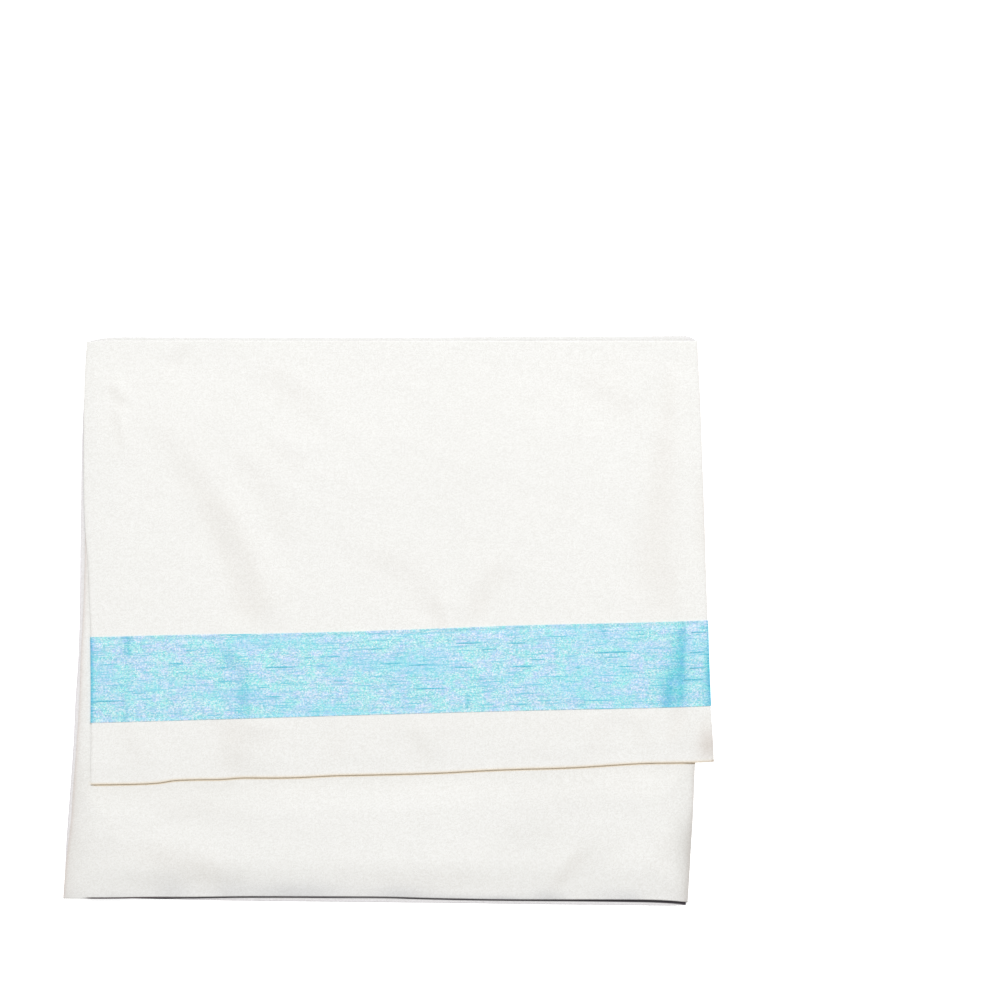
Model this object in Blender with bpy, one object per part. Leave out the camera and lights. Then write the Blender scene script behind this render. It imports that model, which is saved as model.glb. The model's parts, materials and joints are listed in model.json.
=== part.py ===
"""A prayer shawl folded in a zigzag and laid flat, with a light blue band across its front end.

Metres, +Z up. +Y runs up the shawl to its top fold, and the shawl lies on the plane Z = 0.
From the top down the layers are the front fall, the second run, and three hidden ones.
"""

import math
from collections import namedtuple

import bmesh
import bpy
import numpy as np

MM = 0.001

# Cloth wall, the gap between two layers, and the rise from one layer to the next
WALL = 1.0 * MM
GAP = 0.3 * MM
RISE = WALL + GAP

# Middle height of each layer's wall, counted up from the surface
FIFTH_MIDDLE = WALL / 2
FOURTH_MIDDLE = FIFTH_MIDDLE + RISE
THIRD_MIDDLE = FOURTH_MIDDLE + RISE
RUN_MIDDLE = THIRD_MIDDLE + RISE
FALL_MIDDLE = RUN_MIDDLE + RISE

# Folds: how far the cloth runs back past a fold before the next piece takes over
RETURN_LENGTH = 10 * MM
FOLD_STEPS = 6

# Hem of the front end, turned under
HEM_DEPTH = 6 * MM
HEM_SLOPE = 22 * MM
HEM_STEPS = 4

# Swell of the cloth between its creases, which fades out towards the edges
FALL_SWELL = 1.5 * MM
FALL_SWELL_FADE = 26 * MM
RUN_SWELL = 1.2 * MM
RUN_SWELL_FADE = 24 * MM

# Sag of the fall where it overhangs the layers below at the right
SAG = 2.0 * MM
SAG_REACH = 12 * MM
SAG_START = 227 * MM

# Colour band: its width and its distance above the hem at the left and right ends
BAND_WIDTH_LEFT = 63.4 * MM
BAND_WIDTH_RIGHT = 62.6 * MM
BAND_ABOVE_HEM_LEFT = 45.3 * MM
BAND_ABOVE_HEM_RIGHT = 41.6 * MM
BAND_ROWS = 7

# Grid sizes of the two upper pieces
FALL_COLUMNS = 38
FALL_ROWS = 28
RUN_COLUMNS = 24
RUN_ROWS = 20
EDGE_CROWDING = 0.3
# Above 1, the second run's rows stand closer together towards the stretch that shows
RUN_CROWDING = 1.6

# The free end of the cloth shows on the underside as a groove
END_GROOVE_Y = 68 * MM
END_GROOVE_WIDTH = 3.0 * MM
END_GROOVE_HEIGHT = 0.8 * MM
END_GROOVE_REACH = 300 * MM

# Heights up the shawl of the hem and the folds, near enough to read the side edges there
HEM_UP = -112 * MM
TOP_UP = 206 * MM
BOTTOM_UP = -205 * MM

# Side edges: a row for each height up the shawl, with the left and right edge there
Side = namedtuple("Side", "up left right")
FALL_SIDES = (
    Side(up=206, left=-221.8, right=225.3),
    Side(up=165, left=-223.8, right=228.3),
    Side(up=115, left=-224.0, right=230.0),
    Side(up=70, left=-223.1, right=231.8),
    Side(up=42, left=-220.9, right=232.8),
    Side(up=-6, left=-219.0, right=234.6),
    Side(up=-60, left=-218.4, right=236.7),
    Side(up=-120, left=-218.9, right=238.4),
)
RUN_SIDES = (
    Side(up=206, left=-221.6, right=224.8),
    Side(up=100, left=-222.6, right=225.6),
    Side(up=10, left=-224.2, right=225.8),
    Side(up=-60, left=-226.4, right=225.4),
    Side(up=-109, left=-229.3, right=224.6),
    Side(up=-140, left=-233.6, right=222.8),
    Side(up=-161, left=-235.9, right=221.6),
    Side(up=-206, left=-238.27, right=219.3),
)
HIDDEN_SIDES = (
    Side(up=206, left=-221.4, right=224.6),
    Side(up=133, left=-225.3, right=223.8),
    Side(up=74, left=-227.1, right=223.2),
    Side(up=-29, left=-227.5, right=222.4),
    Side(up=-87, left=-230.1, right=221.4),
    Side(up=-139, left=-234.8, right=220.2),
    Side(up=-206, left=-237.2, right=218.8),
)

# Ends and folds that run across: a row for each place across, with the height up the shawl
End = namedtuple("End", "across up")
FRONT_HEM = (
    End(across=-218, up=-120.2),
    End(across=-168, up=-118.6),
    End(across=-130, up=-116.3),
    End(across=-65, up=-115.0),
    End(across=45, up=-111.3),
    End(across=155, up=-106.5),
    End(across=238, up=-103.5),
)
FRONT_FOLD = (
    End(across=-222, up=205.4),
    End(across=-200, up=206.6),
    End(across=0, up=206.3),
    End(across=225, up=206.2),
)
RUN_FOLD = (
    End(across=-238, up=-203.3),
    End(across=-100, up=-202.7),
    End(across=0, up=-203.1),
    End(across=80, up=-204.8),
    End(across=185, up=-205.3),
    End(across=219, up=-207.2),
)
BACK_TOP_FOLD = (
    End(across=-222, up=204.4),
    End(across=-214, up=206.6),
    End(across=-203, up=208.1),
    End(across=0, up=208.2),
    End(across=100, up=208.9),
    End(across=215, up=209.4),
    End(across=225, up=206.4),
)
BACK_BOTTOM_FOLD = (
    End(across=-237, up=-200.0),
    End(across=-168, up=-203.2),
    End(across=-65, up=-205.7),
    End(across=45, up=-206.9),
    End(across=120, up=-208.0),
    End(across=219, up=-209.4),
)

# Largest creases of the fall: places across and up, half width and depth of the soft trough
Crease = namedtuple("Crease", "path half_width depth")
FALL_CREASES = (
    Crease(path=((-172, 148), (-150, 118), (-131, 89), (-113, 56), (-94, 26)), half_width=9, depth=1.3),
    Crease(path=((-122, -19), (-111, -36), (-108, -67), (-112, -105)), half_width=8, depth=0.9),
    Crease(path=((-131, 144), (-94, 107), (-76, 74), (-65, 56)), half_width=8, depth=0.7),
    Crease(path=((-106, 195), (-80, 177), (-47, 148)), half_width=8, depth=0.6),
    Crease(path=((-207, 173), (-194, 155), (-194, 122)), half_width=7, depth=0.7),
    Crease(path=((-21, 52), (16, 41), (38, 1)), half_width=9, depth=0.5),
    Crease(path=((89, 45), (60, 4)), half_width=9, depth=0.5),
    Crease(path=((207, 173), (200, 126), (196, 71), (200, 34)), half_width=8, depth=0.9),
    Crease(path=((200, 34), (212, -3), (214, -62)), half_width=9, depth=1.2),
)

# Levels of a hidden layer's rounded edge: height as a share of its wall, and how far the edge draws in
Level = namedtuple("Level", "height draw_in")
LAYER_LEVELS = (
    Level(height=-0.50, draw_in=0.45 * MM),
    Level(height=-0.30, draw_in=0.10 * MM),
    Level(height=0.00, draw_in=0.00),
    Level(height=0.30, draw_in=0.10 * MM),
    Level(height=0.50, draw_in=0.45 * MM),
)
GROOVE_LEVEL = Level(height=0.65, draw_in=1.4 * MM)
HIDDEN_STEPS_ACROSS = 22
HIDDEN_STEPS_UP = 14

# How far each hidden layer's side edges lie inside the widest one's, and the lowest one's upper end
FIFTH_INSET = 2.2 * MM
FOURTH_INSET = 0.0
THIRD_INSET = 1.1 * MM
FIFTH_SHORT = 3.0 * MM

# A hidden layer: the middle of its wall, and its ends as tables with a shift inwards
Layer = namedtuple("Layer", "middle inset low_end low_shift high_end high_shift")

# Colours: off-white silk-like cloth and light blue raw silk
CLOTH_COLOUR = (0.90, 0.89, 0.86, 1.0)
BAND_COLOUR = (0.44, 0.74, 0.85, 1.0)
CLOTH_ROUGHNESS = 0.6
BAND_ROUGHNESS = 0.5


def smooth_steps(share):
    """0 to 1 as share goes from 0 to 1, level at both ends."""
    share = np.clip(share, 0.0, 1.0)
    return share * share * (3.0 - 2.0 * share)


def through(places, values, at):
    """A smooth curve through a table's rows, read at a place. It never swings past a row's value."""
    places = np.array(places) * MM
    values = np.array(values) * MM
    order = np.argsort(places)
    places, values = places[order], values[order]
    rises = np.diff(values) / np.diff(places)
    slopes = np.concatenate([rises[:1], (rises[:-1] + rises[1:]) / 2, rises[-1:]])
    limits = 3 * np.minimum(np.abs(np.append(rises[0], rises)), np.abs(np.append(rises, rises[-1])))
    slopes = np.clip(slopes, -limits, limits)
    turns = np.append(rises[0], rises) * np.append(rises, rises[-1]) <= 0
    slopes[turns] = 0.0
    i = int(np.clip(np.searchsorted(places, at) - 1, 0, len(places) - 2))
    span = places[i + 1] - places[i]
    t = float(np.clip((at - places[i]) / span, 0.0, 1.0))
    start = values[i] * (1 + 2 * t) * (1 - t) ** 2 + values[i + 1] * t * t * (3 - 2 * t)
    bend = span * (slopes[i] * t * (1 - t) ** 2 - slopes[i + 1] * t * t * (1 - t))
    return start + bend


def side(table, up, edge):
    return through([row.up for row in table], [getattr(row, edge) for row in table], up)


def end(table, across):
    return through([row.across for row in table], [row.up for row in table], across)


def distance_to_path(x, y, path):
    """Distance from a place to a crease's path."""
    nearest = math.inf
    for (ax, ay), (bx, by) in zip(path, path[1:]):
        ax, ay, bx, by = ax * MM, ay * MM, bx * MM, by * MM
        along = ((x - ax) * (bx - ax) + (y - ay) * (by - ay)) / ((bx - ax) ** 2 + (by - ay) ** 2)
        along = min(max(along, 0.0), 1.0)
        nearest = min(nearest, math.hypot(x - ax - along * (bx - ax), y - ay - along * (by - ay)))
    return nearest


def columns(count):
    """Places across a piece from 0 to 1, closer together towards its edges."""
    even = np.linspace(0.0, 1.0, count + 1)
    return even - EDGE_CROWDING * np.sin(2 * math.pi * even) / (2 * math.pi)


def across(sides, u, y):
    left = side(sides, y, "left")
    return left + u * (side(sides, y, "right") - left)


def fall_height(x, y, low, high, left, right):
    """Middle height of the fall's wall: swell, creases, turned hem and overhang."""
    from_edge = min(x - left, right - x, high - y, y - low)
    swell = FALL_SWELL * smooth_steps(from_edge / FALL_SWELL_FADE)
    trough = 0.0
    for crease in FALL_CREASES:
        away = distance_to_path(x, y, crease.path) / (crease.half_width * MM)
        trough += crease.depth * MM * math.exp(-away * away)
    hem = RISE * smooth_steps(1.0 - (y - low - HEM_DEPTH) / HEM_SLOPE)
    sag = SAG * (max(x - SAG_START, 0.0) / SAG_REACH) ** 2
    return FALL_MIDDLE + max(swell - trough, 0.0) + hem - sag


def fall_point(u, y):
    x = across(FALL_SIDES, u, y)
    low, high = end(FRONT_HEM, x), end(FRONT_FOLD, x)
    left, right = side(FALL_SIDES, y, "left"), side(FALL_SIDES, y, "right")
    return x, y, fall_height(x, y, low, high, left, right)


def fall_section(u):
    """One column of the front fall, from its turned hem up and over the top fold."""
    turn = RISE / 2
    start = end(FRONT_HEM, across(FALL_SIDES, u, HEM_UP)) + WALL / 2 + turn
    stop = end(FRONT_FOLD, across(FALL_SIDES, u, TOP_UP)) - WALL / 2 - turn
    body = [fall_point(u, y) for y in np.linspace(start, stop, FALL_ROWS + 1)]
    x, y, z = body[0]
    section = [(x, start + HEM_DEPTH, z - 2 * turn)]
    for angle in np.linspace(-math.pi / 2, math.pi / 2, HEM_STEPS + 1)[:-1]:
        section.append((x, start - turn * math.cos(angle), z - turn + turn * math.sin(angle)))
    section += body
    x, y, z = body[-1]
    for angle in np.linspace(math.pi / 2, -math.pi / 2, FOLD_STEPS + 1)[1:]:
        section.append((x, stop + turn * math.cos(angle), z - turn + turn * math.sin(angle)))
    section.append((x, stop - RETURN_LENGTH, z - 2 * turn))
    return section


def run_section(u):
    """One column of the second run, from below the top fold down and under the bottom fold."""
    turn = RISE / 2
    high = end(FRONT_FOLD, across(FALL_SIDES, u, TOP_UP))
    top = high - WALL / 2 - turn - RETURN_LENGTH - GAP
    low = end(RUN_FOLD, across(RUN_SIDES, u, BOTTOM_UP)) + WALL / 2 + turn
    section = []
    for share in np.linspace(0.0, 1.0, RUN_ROWS + 1):
        y = top + (low - top) * (1.0 - (1.0 - share) ** RUN_CROWDING)
        x = across(RUN_SIDES, u, y)
        left, right = side(RUN_SIDES, y, "left"), side(RUN_SIDES, y, "right")
        hem = end(FRONT_HEM, x)
        from_edge = min(x - left, right - x, y - low, hem - y)
        z = RUN_MIDDLE + RUN_SWELL * smooth_steps(from_edge / RUN_SWELL_FADE)
        section.append((x, y, z))
    x, y, z = section[-1]
    for angle in np.linspace(math.pi / 2, -math.pi / 2, FOLD_STEPS + 1)[1:]:
        section.append((x, low - turn * math.cos(angle), z - turn + turn * math.sin(angle)))
    section.append((x, low + RETURN_LENGTH, z - 2 * turn))
    return section


def band_section(share):
    """One row of the band: the fall's own columns, and the two ends turned down round its edges."""
    clear = WALL / 2 + GAP + WALL / 2
    places = []
    for u in columns(FALL_COLUMNS):
        hem = end(FRONT_HEM, across(FALL_SIDES, u, HEM_UP))
        lower = hem + BAND_ABOVE_HEM_LEFT + u * (BAND_ABOVE_HEM_RIGHT - BAND_ABOVE_HEM_LEFT)
        width = BAND_WIDTH_LEFT + u * (BAND_WIDTH_RIGHT - BAND_WIDTH_LEFT)
        x, y, z = fall_point(u, lower + share * width)
        places.append((x, y, z + clear))
    return turned_end(places[0], -1)[::-1] + places + turned_end(places[-1], 1)


def turned_end(place, outward):
    """The places that take the band round one side edge of the fall, from its top face down."""
    x, y, z = place
    clear = WALL + GAP
    out = outward * (GAP + WALL / 2)
    return [
        (x + 0.7 * out, y, z - 0.1 * clear),
        (x + out, y, z - 0.5 * clear),
        (x + out, y, z - clear - WALL / 2),
    ]


def material(name, colour, roughness):
    made = bpy.data.materials.new(name)
    made.use_nodes = True
    shader = made.node_tree.nodes["Principled BSDF"]
    shader.inputs["Base Color"].default_value = colour
    shader.inputs["Roughness"].default_value = roughness
    shader.inputs["Metallic"].default_value = 0.0
    return made


def placed(name, shape, finish):
    """Puts a bmesh into the scene as a named object."""
    bmesh.ops.recalc_face_normals(shape, faces=shape.faces)
    mesh = bpy.data.meshes.new(name)
    shape.to_mesh(mesh)
    shape.free()
    mesh.materials.append(finish)
    mesh.shade_smooth()
    mesh.set_sharp_from_angle(angle=math.radians(50))
    made = bpy.data.objects.new(name, mesh)
    bpy.context.scene.collection.objects.link(made)
    return made


def cloth(name, sections, finish):
    """A wall of cloth through sections of equal length, thickened evenly to both sides."""
    shape = bmesh.new()
    rows = [[shape.verts.new(place) for place in section] for section in sections]
    for first, second in zip(rows, rows[1:]):
        for a, b, c, d in zip(first, first[1:], second[1:], second):
            shape.faces.new((a, b, c, d))
    made = placed(name, shape, finish)
    wall = made.modifiers.new("wall", "SOLIDIFY")
    wall.thickness = WALL
    wall.offset = 0.0
    wall.use_even_offset = False
    return made


def hidden_ring(layer, draw_in, low_draw_in, high_draw_in):
    """One outline of a hidden layer, going round from its lower left corner."""
    inward = layer.inset + draw_in

    def place(u, v):
        low = end(layer.low_end, across(HIDDEN_SIDES, u, BOTTOM_UP)) + layer.low_shift + low_draw_in
        high = end(layer.high_end, across(HIDDEN_SIDES, u, TOP_UP)) - layer.high_shift - high_draw_in
        y = low + v * (high - low)
        left = side(HIDDEN_SIDES, y, "left") + inward
        right = side(HIDDEN_SIDES, y, "right") - inward
        return left + u * (right - left), y

    steps_across = columns(HIDDEN_STEPS_ACROSS)
    steps_up = np.linspace(0.0, 1.0, HIDDEN_STEPS_UP + 1)
    ring = [place(u, 0.0) for u in steps_across[:-1]]
    ring += [place(1.0, v) for v in steps_up[:-1]]
    ring += [place(u, 1.0) for u in steps_across[:0:-1]]
    ring += [place(0.0, v) for v in steps_up[:0:-1]]
    return ring


def nose(height, middle):
    """How far a fold's round nose, two layers high, draws in at a height."""
    radius = WALL + GAP / 2
    away = min(abs(height - middle) / radius, 1.0)
    return radius * (1.0 - math.sqrt(1.0 - away * away))


def hidden_layers(finish):
    """The three lower layers as one solid: rings from the underside up, grooved between layers."""
    bottom_fold = (FIFTH_MIDDLE + FOURTH_MIDDLE) / 2
    top_fold = (FOURTH_MIDDLE + THIRD_MIDDLE) / 2
    seam = RISE / 2 + WALL / 2 + RETURN_LENGTH + GAP
    layers = (
        Layer(FIFTH_MIDDLE, FIFTH_INSET, BACK_BOTTOM_FOLD, 0.0, BACK_TOP_FOLD, FIFTH_SHORT),
        Layer(FOURTH_MIDDLE, FOURTH_INSET, BACK_BOTTOM_FOLD, 0.0, BACK_TOP_FOLD, 0.0),
        Layer(THIRD_MIDDLE, THIRD_INSET, RUN_FOLD, seam, BACK_TOP_FOLD, 0.0),
    )
    rings = []
    for layer in layers:
        top_layer = layer is layers[-1]
        levels = LAYER_LEVELS if top_layer else LAYER_LEVELS + (GROOVE_LEVEL,)
        for level in levels:
            height = layer.middle + level.height * WALL
            low = level.draw_in if top_layer else nose(height, bottom_fold)
            high = level.draw_in if layer is layers[0] else nose(height, top_fold)
            rings.append((height, hidden_ring(layer, level.draw_in, low, high)))
    shape = bmesh.new()
    loops = [[shape.verts.new((x, y, height)) for x, y in ring] for height, ring in rings]
    for lower, upper in zip(loops, loops[1:]):
        for i in range(len(lower)):
            shape.faces.new((lower[i - 1], lower[i], upper[i], upper[i - 1]))
    shape.faces.new(loops[0][::-1])
    shape.faces.new(loops[-1])
    made = placed("hidden_layers", shape, finish)
    groove = made.modifiers.new("free_end", "BOOLEAN")
    groove.object = end_groove(finish)
    groove.operation = "DIFFERENCE"


def end_groove(finish):
    """The cutter for the groove at the cloth's free end, a low wedge across the underside."""
    shape = bmesh.new()
    section = (
        (-END_GROOVE_WIDTH / 2, -GAP),
        (END_GROOVE_WIDTH / 2, -GAP),
        (0.0, END_GROOVE_HEIGHT),
    )
    face = shape.faces.new([shape.verts.new((-END_GROOVE_REACH, END_GROOVE_Y + y, z)) for y, z in section])
    grown = bmesh.ops.extrude_face_region(shape, geom=[face])
    moved = [item for item in grown["geom"] if isinstance(item, bmesh.types.BMVert)]
    bmesh.ops.translate(shape, verts=moved, vec=(2 * END_GROOVE_REACH, 0.0, 0.0))
    made = placed("end_groove_cutter", shape, finish)
    made.hide_render = True
    made.display_type = "WIRE"
    return made


def main():
    for old in list(bpy.data.objects):
        bpy.data.objects.remove(old)
    white = material("shawl_cloth", CLOTH_COLOUR, CLOTH_ROUGHNESS)
    blue = material("band_silk", BAND_COLOUR, BAND_ROUGHNESS)
    cloth("front_fall", [fall_section(u) for u in columns(FALL_COLUMNS)], white)
    cloth("second_run", [run_section(u) for u in columns(RUN_COLUMNS)], white)
    hidden_layers(white)
    cloth("colour_band", [band_section(share) for share in np.linspace(0.0, 1.0, BAND_ROWS + 1)], blue)


main()
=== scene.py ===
# %% [markdown]
# # A folded prayer shawl
#
# The shawl is one long, narrow cloth, folded back and forth like a letter and laid flat.
# Its front end lies on top, with a light blue silk band near the hem.
# The rigid frame from the CAD step gives its size and place. This file dresses it:
# each stretch of cloth becomes a thin sheet, laid along the path that the real cloth takes.

import json
import math
from collections import namedtuple

import bmesh
import bpy
import numpy as np
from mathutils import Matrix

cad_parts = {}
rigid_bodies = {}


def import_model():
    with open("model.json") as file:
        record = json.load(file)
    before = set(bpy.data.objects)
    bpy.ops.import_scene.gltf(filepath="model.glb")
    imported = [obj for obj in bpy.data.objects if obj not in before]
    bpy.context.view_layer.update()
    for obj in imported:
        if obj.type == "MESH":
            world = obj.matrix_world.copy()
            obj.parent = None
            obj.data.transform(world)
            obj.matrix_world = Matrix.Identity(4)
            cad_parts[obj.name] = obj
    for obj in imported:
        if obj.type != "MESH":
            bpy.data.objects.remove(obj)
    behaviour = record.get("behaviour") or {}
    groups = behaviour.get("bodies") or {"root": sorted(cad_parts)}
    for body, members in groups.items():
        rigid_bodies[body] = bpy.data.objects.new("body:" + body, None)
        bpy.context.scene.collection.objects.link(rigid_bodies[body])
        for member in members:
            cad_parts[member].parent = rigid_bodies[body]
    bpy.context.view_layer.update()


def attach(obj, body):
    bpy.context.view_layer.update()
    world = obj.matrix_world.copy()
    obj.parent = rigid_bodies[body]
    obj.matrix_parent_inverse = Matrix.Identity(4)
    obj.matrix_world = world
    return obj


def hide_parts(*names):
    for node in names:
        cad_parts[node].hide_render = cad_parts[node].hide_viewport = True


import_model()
MM = 0.001


def mm(*lengths):
    """Lengths in millimetres, made metres."""
    return [length * MM for length in lengths]


# %% [markdown]
# ## The outline of each layer
#
# A flat cloth on a table is drawn best by its edges. Each table below has a row for each place
# where an edge bends, in millimetres from the middle of the shawl, as a dressmaker's chart has.
# A smooth curve runs through the rows. It never swings past a row's value, so straight edges stay
# straight. The CAD solids have nearly the same rows. A few places differ by a millimetre or two,
# as a sheet's thin edge can follow the small wobbles of the cloth that a solid leaves out.

# %% Edge tables
Side = namedtuple("Side", "up left right")
End = namedtuple("End", "across up")


def table(kind, *rows):
    """Rows of plain numbers, each under its column's name."""
    return [kind(*row) for row in rows]


FALL_SIDES = table(
    Side,
    (206, -221.8, 227.1), (190, -222.9, 227.8), (165, -223.8, 229.1), (115, -224.0, 230.9),
    (70, -223.1, 232.5), (42, -220.9, 233.3), (12, -219.6, 234.3), (-6, -218.8, 234.7),
    (-60, -218.3, 236.7), (-80, -218.5, 238.1), (-95, -218.7, 239.0), (-120, -218.9, 239.5),
)
RUN_SIDES = table(
    Side,
    (206, -221.6, 224.8), (100, -222.6, 225.6), (10, -224.4, 226.0), (-21, -226.1, 226.0),
    (-60, -227.5, 226.0), (-102, -230.3, 225.5), (-131, -232.5, 224.5), (-146, -233.5, 223.8),
    (-168, -236.2, 222.4), (-183, -237.9, 221.6), (-206, -239.6, 220.1),
)
HIDDEN_SIDES = table(
    Side,
    (206, -221.4, 226.7), (190, -222.6, 225.0), (133, -225.8, 223.8), (74, -226.8, 223.2),
    (10, -227.4, 222.7), (-29, -228.6, 222.4), (-58, -230.6, 221.9), (-87, -231.9, 221.4),
    (-113, -233.7, 220.8), (-139, -235.7, 220.2), (-168, -237.7, 219.6), (-206, -238.7, 218.8),
)
FRONT_HEM = table(
    End,
    (-218, -120.4), (-181, -119.7), (-169, -119.0), (-158, -117.3), (-142, -116.6), (-124, -116.4),
    (-105, -115.2), (-87, -115.3), (-65, -114.9), (-41, -113.7), (-14, -113.1), (23, -112.2),
    (42, -111.5), (69, -110.0), (97, -108.9), (124, -108.2), (142, -107.4), (170, -105.6),
    (188, -104.6), (207, -104.3), (224, -104.1), (239, -103.6),
)
FRONT_FOLD = table(
    End,
    (-222, 205.4), (-200, 206.6), (0, 206.3), (225, 206.2),
)
RUN_FOLD = table(
    End,
    (-239, -204.3), (-218, -204.5), (-190, -204.3), (-168, -203.7), (-142, -203.3), (-100, -202.8),
    (-60, -202.9), (0, -203.2), (20, -203.8), (45, -204.4), (80, -205.0), (185, -205.3),
    (207, -206.0), (220, -207.2),
)
BACK_TOP_FOLD = table(
    End,
    (-222, 205.2), (-218, 206.4), (-213, 207.5), (-209, 208.3), (-204, 208.9), (0, 208.7),
    (82, 209.1), (185, 209.6), (219, 209.9), (222, 209.2), (224.5, 207.4), (227, 205.4),
)
BACK_BOTTOM_FOLD = table(
    End,
    (-239, -201.0), (-205, -203.9), (-168, -204.9), (-139, -205.6), (-102, -206.2), (-65, -206.6),
    (-28, -207.0), (8, -207.4), (45, -207.8), (119, -208.8), (185, -209.5), (207, -209.8),
    (219, -209.4),
)
print("Rows of the fall's sides:", len(FALL_SIDES))


# %% Curves through the tables
def curve_through(places, values, at):
    """A smooth curve through a table's rows, read at an array of places. Millimetres in, metres out."""
    order = np.argsort(places)
    places, values = np.array(places)[order] * MM, np.array(values)[order] * MM
    rises = np.diff(values) / np.diff(places)
    before, after = np.append(rises[0], rises), np.append(rises, rises[-1])
    slopes = (before + after) / 2
    limits = 3 * np.minimum(np.abs(before), np.abs(after))
    slopes = np.where(before * after <= 0, 0.0, np.clip(slopes, -limits, limits))
    i = np.clip(np.searchsorted(places, at) - 1, 0, len(places) - 2)
    span = places[i + 1] - places[i]
    t = np.clip((at - places[i]) / span, 0.0, 1.0)
    flat = values[i] * (1 + 2 * t) * (1 - t) ** 2 + values[i + 1] * t * t * (3 - 2 * t)
    return flat + span * (slopes[i] * t * (1 - t) ** 2 - slopes[i + 1] * t * t * (1 - t))


def left_of(sides, y):
    return curve_through([row.up for row in sides], [row.left for row in sides], y)


def right_of(sides, y):
    return curve_through([row.up for row in sides], [row.right for row in sides], y)


def across(sides, u, y):
    """Place across a layer: u is 0 at its left edge and 1 at its right one."""
    return left_of(sides, y) + u * (right_of(sides, y) - left_of(sides, y))


def from_sides(sides, x, y):
    """How far places are from a layer's left edge and from its right one."""
    return x - left_of(sides, y), right_of(sides, y) - x


def end_at(ends, x):
    return curve_through([row.across for row in ends], [row.up for row in ends], x)


def smooth(share):
    """0 to 1 as share goes from 0 to 1, level at both ends."""
    share = np.clip(share, 0.0, 1.0)
    return share * share * (3.0 - 2.0 * share)


def near(distance, reach):
    """1 at no distance, falling softly to almost nothing at twice the reach."""
    return np.exp(-((distance / reach) ** 2))


BAND_UP = -30 * MM
band_wide = right_of(FALL_SIDES, BAND_UP) - left_of(FALL_SIDES, BAND_UP)
print("Fall width at the band in mm:", round(float(band_wide) / MM, 1))

# %% [markdown]
# ## Creases
#
# A cloth that has been folded and carried keeps soft creases. They could come from a cloth
# simulation, but a simulation puts them where it likes. Here they are placed one by one along
# short paths, each with its own width and depth, so that they lie where they lie on the real
# shawl. Across its path a crease is a soft step: a long low trough on the right of the path and
# a rounder ridge on the left. The slope between them turns from the light and reads as the crease.

# %% Crease tables
# Paths and the widths at their start and end are in millimetres, and depth is a share of CREASE_HEIGHT.
Crease = namedtuple("Crease", "path start end depth")

FALL_CREASES = table(
    Crease,
    (((-178, 152), (-152, 120), (-132, 90)), 13, 11, 0.5),
    (((-150, 116), (-129, 84), (-110, 45), (-99, 14), (-91, -12)), 11, 13, 1.6),
    (((-131, 144), (-96, 107), (-78, 74), (-67, 50)), 11, 12, 0.5),
    (((-94, 133), (-61, 111)), 9, 9, 0.4),
    (((-98, 190), (-80, 177), (-58, 159), (-36, 137)), 11, 12, 0.45),
    (((-166, 186), (-144, 202)), 7, 7, 0.4), (((-206, 175), (-193, 158)), 4, 4, 0.7),
    (((-203, 160), (-195, 124)), 4, 4, 0.6),
    (((-34, 54), (-5, 47), (19, 31), (32, 14), (40, -14)), 13, 9, 0.5),
    (((32, 18), (37, 6), (40, -16)), 5, 6, 0.5), (((58, -6), (69, 20), (87, 48)), 8, 10, 0.8),
    (((206, 178), (203, 130), (199, 88), (195, 45), (194, -30)), 7, 17, 1.15),
    (((231, 118), (231, 75), (233, 40)), 5, 6, 0.9),
    (((207, 188), (206, 165), (204, 138)), 6, 7, 0.6), (((208, 42), (206, 2)), 6, 8, 0.5),
    (((138, 187), (181, 149)), 13, 12, 0.55), (((163, 198), (171, 178)), 8, 8, 0.3),
    (((-123, -14), (-108, -34), (-106, -50), (-109, -84)), 5, 8, 0.9),
    (((-192, -6), (-192, -40), (-193, -84)), 4, 4, 0.4),
    (((216, 6), (216, -26), (213, -50), (212, -84)), 4.5, 9, 1.0),
    (((-112, -66), (-114, -115)), 11, 14, 0.75), (((-131, -78), (-80, -87)), 10, 11, 0.35),
    (((-195, -72), (-181, -112)), 8, 8, 0.45), (((-36, -78), (-36, -106)), 9, 9, 0.4),
    (((14, -76), (32, -104)), 7, 8, 0.6), (((151, -101), (160, -68)), 8, 8, 0.45),
    (((181, -66), (188, -97)), 7, 7, 0.45), (((217, -66), (212, -78), (204, -92)), 4, 6, 0.8),
    (((233, -66), (234, -110)), 5, 7, 0.7),
)
RUN_CREASES = table(
    Crease,
    (((116, -203), (131, -185), (147, -167)), 6, 6, 0.9),
    (((188, -190), (203, -172), (212, -150)), 6, 7, 0.5),
    (((-172, -150), (-150, -138), (-105, -146)), 8, 8, 0.3),
    (((-205, -166), (-150, -176), (-118, -192)), 10, 12, 0.9),
    (((-60, -186), (10, -190), (90, -187)), 9, 9, 0.35),
)
CREASE_HEIGHT, CREASE_REACH = 0.62 * MM, 4
FADE_IN, FADE_OUT, FADE_LEAST = 0.25, 0.2, 0.1
Waves = namedtuple("Waves", "height length seed")


def rounded_path(path, rounds=2):
    """The path in metres, with its corners cut off again and again until it is a smooth curve."""
    points = np.array(path, dtype=float) * MM
    for _ in range(rounds):
        this, other = points[:-1], points[1:]
        cut = np.stack([0.75 * this + 0.25 * other, 0.25 * this + 0.75 * other], axis=1)
        points = np.concatenate([points[:1], cut.reshape(-1, 2)[1:-1], points[-1:]])
    return points


def crease_step(share):
    """Height across a crease, in its own depth: share is the place across, in its own width."""
    trough = share / (1.0 + share**2)
    ridge = share * np.exp(-(share**2) / 2)
    return np.where(share < 0, trough, ridge)


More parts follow.
